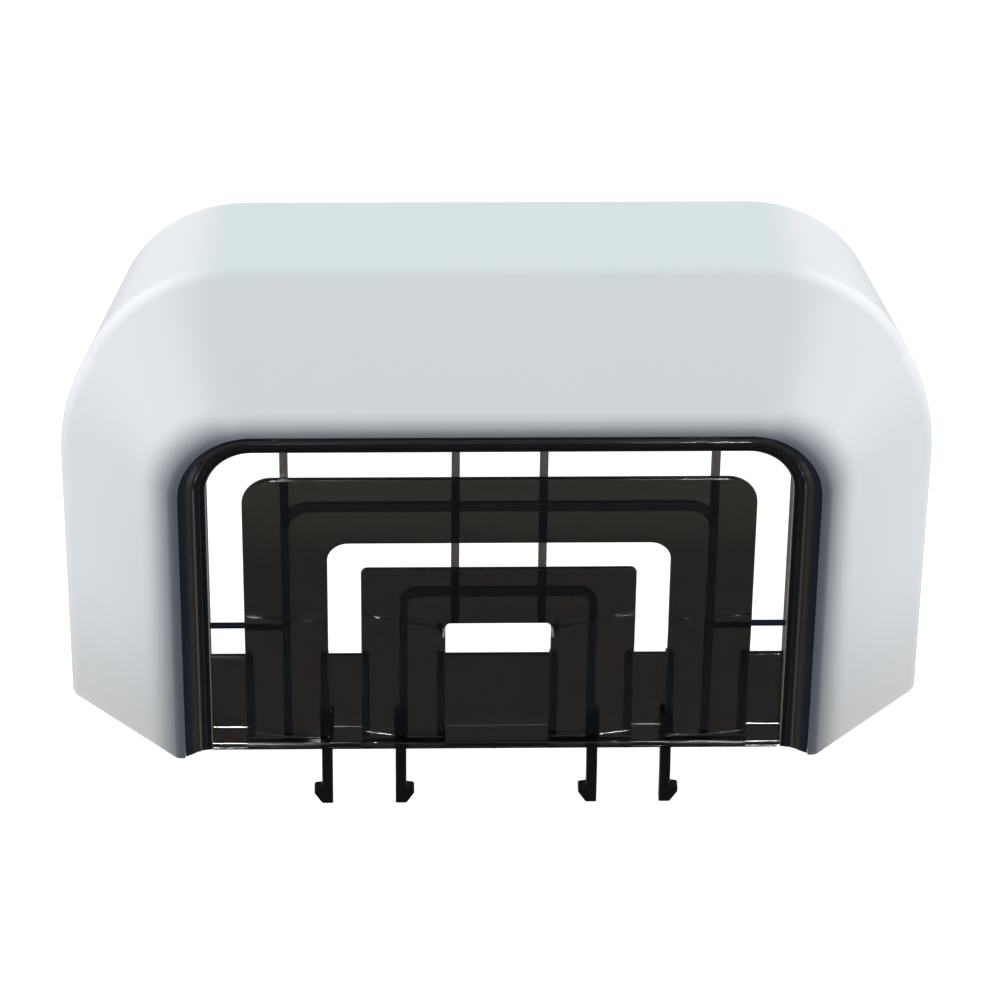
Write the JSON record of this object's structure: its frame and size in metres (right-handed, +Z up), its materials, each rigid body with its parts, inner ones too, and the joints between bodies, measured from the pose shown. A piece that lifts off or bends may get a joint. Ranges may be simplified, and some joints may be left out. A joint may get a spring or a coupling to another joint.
{
  "type": "garage door opener light cover",
  "caption": "Milky press-fit light hood for a garage door opener with a smoked, arched vent insert and hooked snap prongs.",
  "frame": {"origin": "middle of the open rear mouth, level with the hood's bottom edge", "axes": "+X to the right seen from the front, +Y back into the opener's chassis, +Z up"},
  "size_m": [0.28, 0.081, 0.188],
  "materials": {
    "milky_polycarbonate": "satin, light diffusing",
    "smoked_polycarbonate": "moulded gloss, see-through smoke"
  },
  "bodies": {
    "cover": {"lens_shell": "milky_polycarbonate", "bezel_frame": "smoked_polycarbonate", "bottom_rail": "smoked_polycarbonate", "outer_vent_arch": "smoked_polycarbonate", "inner_vent_arch": "smoked_polycarbonate", "outer_arch_rib": "smoked_polycarbonate", "inner_arch_rib": "smoked_polycarbonate", "vent_rib_outer_left": "smoked_polycarbonate", "vent_rib_outer_right": "smoked_polycarbonate", "vent_rib_centre_left": "smoked_polycarbonate", "vent_rib_centre_right": "smoked_polycarbonate", "side_rib_left": "smoked_polycarbonate", "side_rib_right": "smoked_polycarbonate", "recess_panel_centre": "smoked_polycarbonate", "recess_panel_inner_left": "smoked_polycarbonate", "recess_panel_inner_right": "smoked_polycarbonate", "recess_panel_outer_left": "smoked_polycarbonate", "recess_panel_outer_right": "smoked_polycarbonate", "prong_root_outer_left": "smoked_polycarbonate", "prong_root_inner_left": "smoked_polycarbonate", "prong_root_inner_right": "smoked_polycarbonate", "prong_root_outer_right": "smoked_polycarbonate"},
    "prong_outer_left": {"snap_prong_outer_left": "smoked_polycarbonate"},
    "prong_inner_left": {"snap_prong_inner_left": "smoked_polycarbonate"},
    "prong_inner_right": {"snap_prong_inner_right": "smoked_polycarbonate"},
    "prong_outer_right": {"snap_prong_outer_right": "smoked_polycarbonate"},
    "tab_left": {"release_tab_left": "milky_polycarbonate"},
    "tab_right": {"release_tab_right": "milky_polycarbonate"}
  },
  "joints": [
    {"name": "prong_outer_left_flex", "type": "hinge", "parent": "cover", "child": "prong_outer_left", "pos_m": [-0.0554, -0.0675, 0], "axis": [0, -1, 0], "range_deg": [0, 6], "stiffness_Nm_per_rad": 0.8},
    {"name": "prong_inner_left_flex", "type": "hinge", "parent": "cover", "child": "prong_inner_left", "pos_m": [-0.0313, -0.0675, 0], "axis": [0, 1, 0], "range_deg": [0, 6], "stiffness_Nm_per_rad": 0.8},
    {"name": "prong_inner_right_flex", "type": "hinge", "parent": "cover", "child": "prong_inner_right", "pos_m": [0.0313, -0.0675, 0], "axis": [0, -1, 0], "range_deg": [0, 6], "stiffness_Nm_per_rad": 0.8},
    {"name": "prong_outer_right_flex", "type": "hinge", "parent": "cover", "child": "prong_outer_right", "pos_m": [0.0554, -0.0675, 0], "axis": [0, 1, 0], "range_deg": [0, 6], "stiffness_Nm_per_rad": 0.8},
    {"name": "tab_left_flex", "type": "hinge", "parent": "cover", "child": "tab_left", "pos_m": [-0.13875, -0.02415, 0.051], "axis": [0, 0, -1], "range_deg": [0, 6], "stiffness_Nm_per_rad": 1},
    {"name": "tab_right_flex", "type": "hinge", "parent": "cover", "child": "tab_right", "pos_m": [0.13875, -0.02415, 0.051], "axis": [0, 0, 1], "range_deg": [0, 6], "stiffness_Nm_per_rad": 1}
  ]
}
